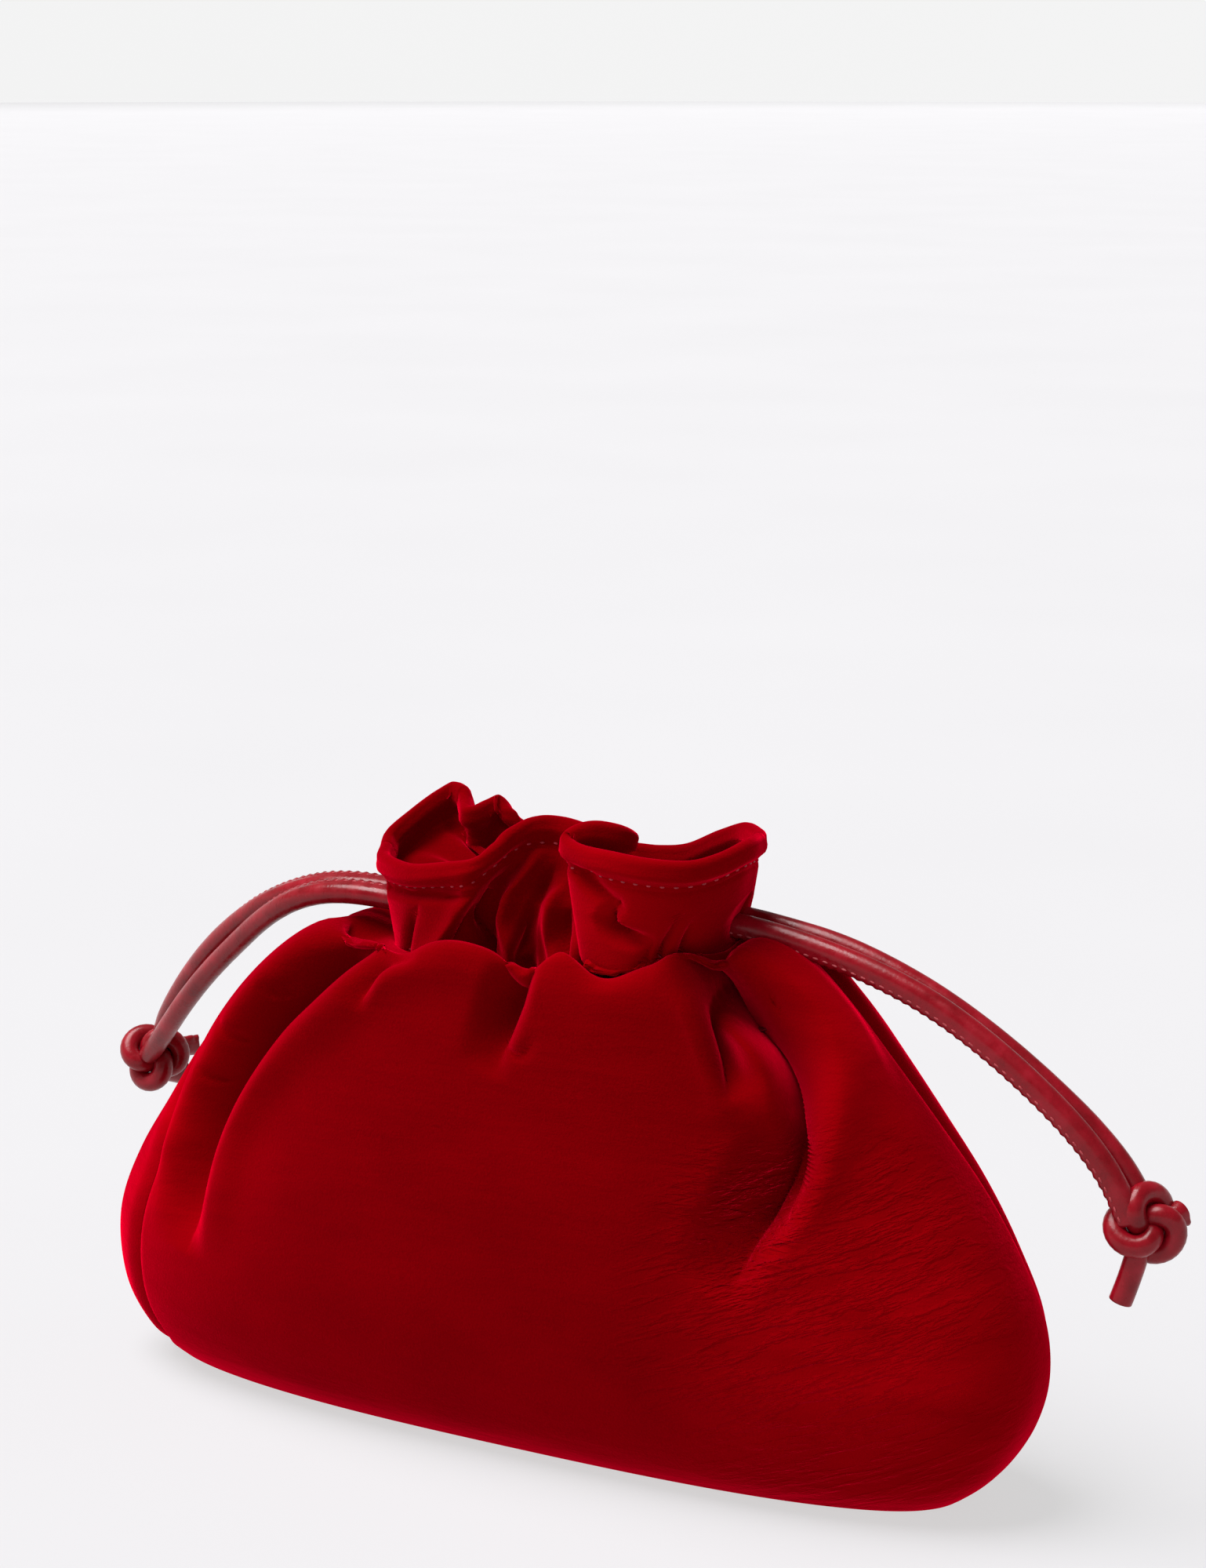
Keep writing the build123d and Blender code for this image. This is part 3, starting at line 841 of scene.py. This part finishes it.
# The back's pleats are all of one kind: x at the foot, and how far each leans
BACK_PLEATS = [(-46, -1), (-38, 2), (-30, 1), (-19, -2), (-6, 1), (5, 2), (15, -1), (29, 2), (40, 1),
               (48, -1)]
NECK_FOLDS_BACK = [
    ([(x, 137, 2.5), (x + 1, 147, 2.5), (x * 1.03 + lean, 157, 1.5), (x * 1.05 + 2 * lean, 166, 0)],
     3, 3, 0)
    for x, lean in BACK_PLEATS
]
# The hollow behind the body's thin front edge, right of the middle
HOLLOW_FRONT = [
    ([(14, 146, 0), (24, 141, 5), (38, 138, 6), (50, 140, 5), (58, 146, 0)], 6, 6, 0),
]
SEAM_DEPTH = 2.4
SEAM_REACH = 6.0  # mm each side of the seam


def press_seams(grid, rows):
    """Draws the cloth in along both side seams, the same way for both halves."""
    centre = (grid[:, 0] + grid[:, -1]) / 2
    for column in (0, -1):
        outward = grid[:, column] - centre
        outward[:, 1] *= 3
        outward[:, 2] = 0
        outward /= np.maximum(np.linalg.norm(outward, axis=1, keepdims=True), 1e-6)
        distance = np.linalg.norm(grid - grid[:, column, None], axis=2)
        share = np.clip(1 - distance / SEAM_REACH, 0, 1) ** 2.2 * window(rows, *SEAM_PRESS_ROWS)[:, None]
        grid = grid - (share * SEAM_DEPTH)[:, :, None] * outward[:, None]
    return grid


FOLDS = {
    "front": (BODY_RIDGES_FRONT, BODY_FOLDS_FRONT, NECK_RIDGES_FRONT, NECK_FOLDS_FRONT),
    "back": ([], BODY_FOLDS_BACK, [], NECK_FOLDS_BACK),
}


def shape_half(rows, half):
    """One half's outer surface, from the bottom seam to the rim."""
    grid = envelope_rows(rows, half)
    normals = surface_normals(grid)
    # Near the crest the folds go in towards the neck, not down
    inwards = normals.copy()
    inwards[:, :, 2] *= (1 - 0.75 * ease(rows, 10, 12.5))[:, None]
    inwards = unit(inwards)
    high = 1 - 0.45 * ease(rows, 11, 13.5)[:, None]
    on_body = window(rows, *BODY_FOLD_ROWS)[:, None]
    on_neck = window(rows, *NECK_FOLD_ROWS)[:, None]
    # The seams lie off the middle, so each half takes part in both sides' folds
    sides = {"front": ease(-grid[:, :, 1], 1, 9), "back": ease(grid[:, :, 1], 1, 9)}
    for side, this_side in sides.items():
        ridges, folds, neck_ridges, pleats = FOLDS[side]
        for line, width in ridges:
            grid = swell(grid, normals, this_side * on_body, line, width)
        for line, left, right, lean in folds:
            grid = carve(grid, inwards, this_side * on_body * high, line, left, right, lean)
        if side == half:
            for line, width in neck_ridges:
                grid = swell(grid, normals, this_side * on_neck, line, width)
            for line, left, right, lean in pleats:
                grid = carve(grid, normals, this_side * on_neck, line, left, right, lean)
    if half == "front":
        grid[:, :, 2] += crest_waves(grid[:, :, 0], rows) * sides["front"]
        behind = window(rows, *HOLLOW_ROWS)[:, None]
        for line, left, right, lean in HOLLOW_FRONT:
            grid = carve(grid, normals, sides["front"] * behind, line, left, right, lean)
    return press_seams(clear_of_cords(grid, rows, half, PLEAT_CLEARANCE), rows)


def join_halves(front, back):
    """Brings both halves' edges together along the side seams."""
    for column in (0, -1):
        shared = (front[:, column] + back[:, -1 - column]) / 2
        front[:, column] = back[:, -1 - column] = shared


HEM_RADIUS = 2.0
HEM_FADE = (2.8, 4.6)  # mm below the rim, where the rolled hem ends
HEM_PUFF = 0.55  # of the cloth between the rim and the stitching
RIM_STITCH_DROP = 6.4
STITCH_GROOVE = 0.9
WALL = 2.1  # the ruffle's two layers together
CLOTH = 1.0  # one layer
MOUTH = (20, 2.6)  # half sizes of the drawn mouth
MOUTH_X = 1
MOUTH_Z = 156
MOUTH_FOOT_Z = 144
FACING_FOOT_ROW = CASING_TOP_ROW + 0.6
FACING_GATHERS = (13, 1.1)  # waves round a half, and their height
FUNNEL_RINGS = 11  # from the facing's foot to the mouth
THROAT_RINGS = 6  # from the mouth down to its foot


def drop_from_rim(grid):
    """Each point's distance below the rim, along its column."""
    steps = np.linalg.norm(np.diff(grid, axis=0), axis=2)
    return np.concatenate([np.cumsum(steps[::-1], axis=0)[::-1], np.zeros((1, grid.shape[1]))])


def mouth_ring(half, count, height):
    """One half of the drawn mouth's edge, at a height."""
    angle = math.pi * (np.linspace(0, 1, count) + (1 if half == "front" else 0))
    x, y = MOUTH[0] * np.cos(angle) + MOUTH_X, MOUTH[1] * np.sin(angle)
    return np.stack([x, y, np.full(count, height)], 1)


def gathers(count, waves, height, part):
    """Waves round a half, highest midway between two rings."""
    return height * math.sin(part * math.pi) * np.cos(2 * math.pi * waves * np.linspace(0, 1, count))


def turn_in(grid, rows, half):
    """The outer surface with its rolled rim, its facing and the gathers down into the mouth."""
    normals = surface_normals(grid)
    up = unit(np.gradient(grid, axis=0))
    drop = drop_from_rim(grid)
    proud = (HEM_RADIUS - WALL / 2) * (1 - ease(drop, *HEM_FADE))
    proud += HEM_PUFF * np.exp(-((drop - 2.5) / 2) ** 2) * ease(drop, 0, 1.5)
    proud -= STITCH_GROOVE * np.exp(-(drop - RIM_STITCH_DROP) ** 2)
    outer = grid + normals * proud[:, :, None]
    inner = grid - normals * (WALL + proud)[:, :, None]
    middle = grid[-1] - normals[-1] * WALL / 2
    turns = np.linspace(0, math.pi, 9)[1:-1]
    roll = [middle + HEM_RADIUS * (math.cos(a) * normals[-1] + math.sin(a) * up[-1]) for a in turns]
    down = inner[rows >= FACING_FOOT_ROW][::-1]
    count = grid.shape[1]
    mouth = mouth_ring(half, count, MOUTH_Z)
    mouth[:, 2] += 0.03 * mouth[:, 0]
    funnel = []
    for part in np.linspace(0, 1, FUNNEL_RINGS + 1)[1:]:
        sink = np.sin(part * math.pi / 2)
        ring = down[-1] * (1 - part) + mouth * part
        ring[:, 2] = down[-1][:, 2] * (1 - sink) + mouth[:, 2] * sink
        ring[:, 2] += gathers(count, *FACING_GATHERS, part)
        funnel.append(ring)
    depths = np.linspace(0, MOUTH_Z - MOUTH_FOOT_Z, THROAT_RINGS + 1)[1:]
    throat = [mouth - (0, 0, depth) for depth in depths]
    return np.concatenate([outer, np.array(roll), down, np.array(funnel), np.array(throat)])


def cloth_mesh(name, grid, normals, thickness, material):
    """A closed sheet from a grid of points, with its thickness on the side away from the normals."""
    height, width = grid.shape[:2]
    points = np.concatenate([grid.reshape(-1, 3), (grid - normals * thickness).reshape(-1, 3)]) * MM
    index = np.arange(height * width).reshape(height, width)
    quads = np.stack([index[:-1, :-1], index[:-1, 1:], index[1:, 1:], index[1:, :-1]], 2).reshape(-1, 4)
    back = height * width
    edges = [(index[0, 1:], index[0, :-1]), (index[:-1, 0], index[1:, 0]),
             (index[-1, :-1], index[-1, 1:]), (index[1:, -1], index[:-1, -1])]
    rims = [np.stack([second, first, first + back, second + back], 1)[:, ::-1] for first, second in edges]
    faces = np.concatenate([quads, quads[:, ::-1] + back, *rims])
    return mesh_object(name, points, faces.tolist(), material)


def make_velvet():
    """Both halves of the pouch, each one sheet from the bottom seam to the mouth."""
    rows = row_places()
    outsides = {half: shape_half(rows, half) for half in ("front", "back")}
    join_halves(*outsides.values())
    for half, outside in outsides.items():
        grid = turn_in(outside, rows, half)
        piece = cloth_mesh(f"{half}_velvet", grid, surface_normals(grid), CLOTH, "velvet")
        # Keeps the shadow's edge smooth across the faces of the deep folds
        piece.shadow_terminator_geometry_offset = 0.3
        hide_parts(f"{half}_panel", f"{half}_casing", f"{half}_ruffle", f"{half}_facing")
        blend_ruffle(piece)
        make_lining(outside, rows, half)
        make_stitching(grid, rows, half)


def blend_ruffle(piece):
    """Bakes a piece's placement into its mesh."""
    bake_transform(piece)


LINING_GAP = 2.4
LINING_SLACK = 5  # more gap near its top
LINING_TOP_ROW = 11.3  # where it turns in to the mouth
LINING_STEP = 3  # every third row and column of the velvet
LINING_SPREAD = 5  # how many points past a fold the lining stays clear of it
LINING_FLOOR = 1.2
LINING_CLOTH = 0.5
LINING_GATHERS = (11, 1.5)
LINING_RINGS = 7  # from its top row to the mouth
LINING_SAG = 15


def neighbours(values):
    """The values of the points below, above, left and right of each point of a grid."""
    padded = np.pad(values, 1, mode="edge")
    return [padded[:-2, 1:-1], padded[2:, 1:-1], padded[1:-1, :-2], padded[1:-1, 2:]]


def make_lining(outside, rows, half):
    """The half's satin lining, just inside the velvet, gathered to the mouth at its top."""
    bare = envelope_rows(rows, half)
    pressed = np.linalg.norm(bare - outside, axis=2)
    for _ in range(LINING_SPREAD):
        pressed = np.max([pressed, *neighbours(pressed)], 0)
    for _ in range(LINING_SPREAD * 2):
        pressed = sum(neighbours(pressed)) / 4
    gap = LINING_GAP + pressed + LINING_SLACK * ease(rows, 10.5, 13)[:, None]
    inside = bare - surface_normals(bare) * gap[:, :, None]
    inside = inside[rows < LINING_TOP_ROW][::LINING_STEP, ::LINING_STEP]
    inside[:, :, 2] = np.maximum(inside[:, :, 2], LINING_FLOOR)
    count = inside.shape[1]
    mouth = mouth_ring(half, count, MOUTH_FOOT_Z - 0.5)
    rings = []
    for part in np.linspace(0, 1, LINING_RINGS + 1)[1:]:
        ring = inside[-1] * (1 - part) + mouth * part
        ring[:, 2] += gathers(count, *LINING_GATHERS, part) - LINING_SAG * math.sin(part * math.pi)
        rings.append(ring)
    grid = np.concatenate([inside, np.array(rings)])
    piece = cloth_mesh(f"{half}_lining_cloth", grid, surface_normals(grid), LINING_CLOTH, "lining")
    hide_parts(f"{half}_lining")
    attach(piece, "sack")


def surface_stitches(name, grid, rows_at, columns, lift, pitch, length, width):
    """A row of stitches lying on a grid, along the given fractional row of each column."""
    low = np.clip(rows_at.astype(int), 0, grid.shape[0] - 2)
    part = (rows_at - low)[:, None]
    facing = surface_normals(grid)[low, columns]
    points = (grid[low, columns] * (1 - part) + grid[low + 1, columns] * part + facing * lift) * MM
    lengths = run_lengths(points)
    at = np.arange(pitch, lengths[-1] - pitch / 2, pitch)
    place = at_lengths(at, lengths, points)
    outward = unit(at_lengths(at, lengths, facing))
    along = at_lengths(at + pitch / 4, lengths, points) - place
    along = unit(along - outward * (along * outward).sum(1)[:, None])
    return stitches(name, place, along, outward, length, width)


CASING_STITCH_ROWS = (15.35, 17.75)
RIM_STITCH = (0.0, 3.8 * MM, 1.4 * MM, 0.7 * MM)  # lift, pitch, seen length, thickness
CASING_STITCH = (-0.45, 3.8 * MM, 1.6 * MM, 0.6 * MM)  # sunk in the pile


def make_stitching(grid, rows, half):
    """The topstitching below the rim, and the casing's two rows."""
    outer = grid[:len(rows)]
    drop = drop_from_rim(outer)
    columns = np.arange(1, outer.shape[1] - 1)
    rows_at = np.array([np.interp(-RIM_STITCH_DROP, -drop[:, c], np.arange(len(rows))) for c in columns])
    piece = surface_stitches(f"{half}_rim_thread", outer, rows_at, columns, *RIM_STITCH)
    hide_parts(f"{half}_rim_stitching")
    blend_ruffle(piece)
    for number, row in enumerate(CASING_STITCH_ROWS):
        rows_at = np.full(len(columns), np.interp(row, rows, np.arange(len(rows))))
        name = f"{half}_casing_thread_{number + 1}"
        piece = surface_stitches(name, outer, rows_at, columns, *CASING_STITCH)
        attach(piece, "sack")
    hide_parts(f"{half}_casing_stitching")


make_velvet()


# ---------------- the cords inside the casing

# Half a loop's outline, from the slit to its far end, as x and y; the other half mirrors it
HALF_LOOP = [(46, 3.6), (36, 4.6), (25, 6.3), (0, 6.3), (-24, 6.2), (-33, 5.8), (-38, 3.6)]
# Each loop's height at the slit, and its fall over the whole width of the neck
LOOP_HEIGHTS = {"left": (146.6, 0.0), "right": (153.7, 3.7)}
LOOP_START_X = 46


def held_loop(side):
    """A drawcord's loop inside the casing, round the drawn mouth."""
    sign = -1 if side == "left" else 1
    height, fall = LOOP_HEIGHTS[side]
    outline = [(x, -y) for x, y in HALF_LOOP] + HALF_LOOP[::-1]
    route = [(sign * x, y, height - fall * (LOOP_START_X - x) / (2 * LOOP_START_X)) for x, y in outline]
    piece = tube(f"{side}_loop_cord", spline_points(route), SEAM_ANGLES[side])
    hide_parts(f"{side}_cord_loop")
    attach(piece, f"{side}_cord")


for side in ("left", "right"):
    held_loop(side)


# ---------------- floor, light and finish

FLOOR_SIZE = 30  # half its width, past the wall
WALL_RADIUS = 17
WALL_HEIGHT = 3.6
WALL_SIDES = 64


def stage_material(name, scale, dark, light, glow, roughness):
    """A pale surface of the studio, lit evenly by a glow of its own."""
    material, tree, shader = new_material(name, {
        "Emission Color": (1, 1, 1, 1), "Emission Strength": glow, "Roughness": roughness,
    })
    colour = ramp(tree, noise(tree, scale, 2), (0.3, dark), (0.7, light))
    tree.links.new(colour, shader.inputs["Base Color"])
    return material


def stage_piece(name, points, faces, material):
    """A surface of the studio, which isn't part of the pouch."""
    mesh = bpy.data.meshes.new(name)
    mesh.from_pydata(points, [], faces)
    mesh.materials.append(material)
    piece = bpy.data.objects.new(name, mesh)
    scene.collection.objects.link(piece)


def make_floor():
    """A plain pale floor."""
    material = stage_material("floor", 3, (0.125, 0.12, 0.13), (0.135, 0.13, 0.14), 0.61, 0.9)
    corners = [(x * FLOOR_SIZE, y * FLOOR_SIZE, 0) for x, y in ((-1, -1), (1, -1), (1, 1), (-1, 1))]
    stage_piece("floor", corners, [[0, 1, 2, 3]], material)


def make_backdrop():
    """A pale round wall far away, which meets the floor at the top of the picture."""
    material = stage_material("backdrop", 1, grey(0.02), grey(0.021), 0.86, 0.5)
    angles = [k * 2 * math.pi / WALL_SIDES for k in range(WALL_SIDES)]
    points = [(WALL_RADIUS * math.cos(angle), WALL_RADIUS * math.sin(angle), height)
              for height in (0, WALL_HEIGHT) for angle in angles]
    faces = []
    for k in range(WALL_SIDES):
        beside = (k + 1) % WALL_SIDES
        faces.append([k, beside, WALL_SIDES + beside, WALL_SIDES + k])
    stage_piece("backdrop", points, faces, material)


def soft_sun(name, from_where, strength, spread):
    """A distant light as wide as a large studio softbox. Only the key light shows in reflections."""
    light = bpy.data.lights.new(name, "SUN")
    light.angle = math.radians(spread)
    light.energy = strength
    holder = bpy.data.objects.new(name, light)
    holder.visible_glossy = name == "key"
    holder.rotation_euler = Vector(from_where).to_track_quat("Z", "Y").to_euler()
    scene.collection.objects.link(holder)


def make_light():
    """A wide key light above, weaker ones from the left and the right, and a dim even surround."""
    soft_sun("key", (-0.40, -0.15, 1), 5.2, 42)
    soft_sun("left", (-1, -0.5, 0.5), 0.9, 35)
    soft_sun("right", (0.8, -0.9, 0.5), 0.35, 40)
    world = bpy.data.worlds.new("world")
    scene.world = world
    world.use_nodes = True
    background = world.node_tree.nodes["Background"]
    background.inputs["Color"].default_value = (1, 1, 1, 1)
    background.inputs["Strength"].default_value = 0.22
    scene.view_settings.view_transform = "Standard"


make_floor()
make_backdrop()
make_light()
